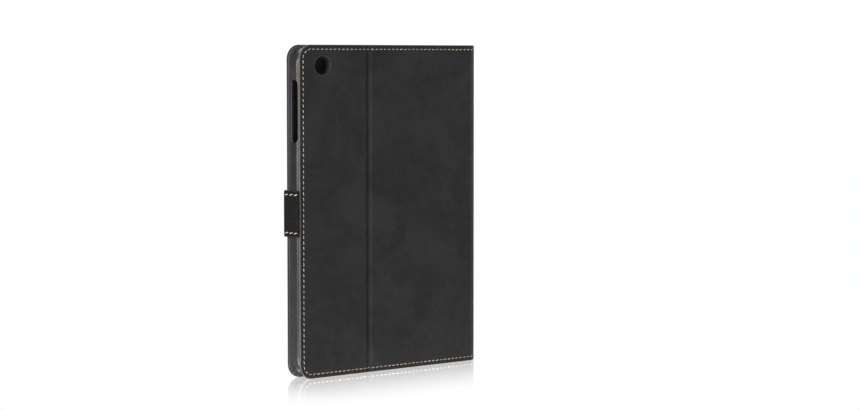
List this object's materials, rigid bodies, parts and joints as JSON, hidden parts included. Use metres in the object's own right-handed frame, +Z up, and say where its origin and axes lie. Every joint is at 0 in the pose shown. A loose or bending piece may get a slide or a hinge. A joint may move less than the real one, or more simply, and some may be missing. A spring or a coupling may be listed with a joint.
{
  "type": "tablet case",
  "caption": "Book-style folio case for a small tablet: leather covers that fold back, a flexible tray, a stand crease and a magnetic strap.",
  "frame": {"origin": "centre of the closed case's footprint, on the surface that it stands on", "axes": "+Z up along the tablet's long side, +X from the spine to the free edge, -Y out of the front cover, +Y out of the back cover"},
  "size_m": [0.1486, 0.0154, 0.208],
  "materials": {
    "leather": "matte with a fine nubuck grain",
    "lining": "microfibre",
    "board": "pressed fibre board",
    "tpu": "glossy flexible plastic",
    "adhesive": "clear sheet",
    "thread": "twisted polyester thread",
    "steel": "plain"
  },
  "bodies": {
    "tray": {"tpu_tray": "tpu", "tray_adhesive": "adhesive", "narrow_back_leather": "leather", "narrow_back_board": "board", "narrow_back_lining": "lining", "narrow_back_stitching": "thread", "strap_tail": "leather"},
    "wide_back": {"wide_back_leather": "leather", "wide_back_board": "board", "wide_back_lining": "lining", "wide_back_stitching": "thread"},
    "spine": {"spine_leather": "leather", "spine_board": "board", "spine_lining": "lining", "spine_stitching": "thread"},
    "front_cover": {"front_leather": "leather", "front_board": "board", "front_lining": "lining", "front_stitching": "thread", "stand_ridges": "lining", "keeper_plate": "steel"},
    "strap_side": {"strap_side_leather": "leather", "strap_side_lining": "lining", "strap_side_stitching": "thread"},
    "strap_tab": {"tab_leather": "leather", "tab_lining": "lining", "tab_stitching": "thread", "clasp_magnet": "steel"}
  },
  "joints": [
    {"name": "crease_fold", "type": "hinge", "parent": "tray", "child": "wide_back", "pos_m": [0.01765, 0.00625, 0], "axis": [0, 0, -1], "range_deg": [0, 40]},
    {"name": "cover_open", "type": "hinge", "parent": "wide_back", "child": "spine", "pos_m": [-0.07335, 0.00665, 0], "axis": [0, 0, -1], "range_deg": [0, 165]},
    {"name": "cover_turn", "type": "hinge", "parent": "spine", "child": "front_cover", "pos_m": [-0.07335, -0.00495, 0], "axis": [0, 0, -1], "range_deg": [0, 165]},
    {"name": "strap_open", "type": "hinge", "parent": "tray", "child": "strap_side", "pos_m": [0.07365, 0.00655, 0], "axis": [0, 0, 1], "range_deg": [0, 90]},
    {"name": "tab_open", "type": "hinge", "parent": "strap_side", "child": "strap_tab", "pos_m": [0.07365, -0.00695, 0], "axis": [0, 0, 1], "range_deg": [0, 90]}
  ],
  "couplings": [
    {"joint": "crease_fold", "follows": "cover_open", "ratio": 0.24},
    {"joint": "cover_turn", "follows": "cover_open", "ratio": 1},
    {"joint": "tab_open", "follows": "strap_open", "ratio": 1}
  ]
}
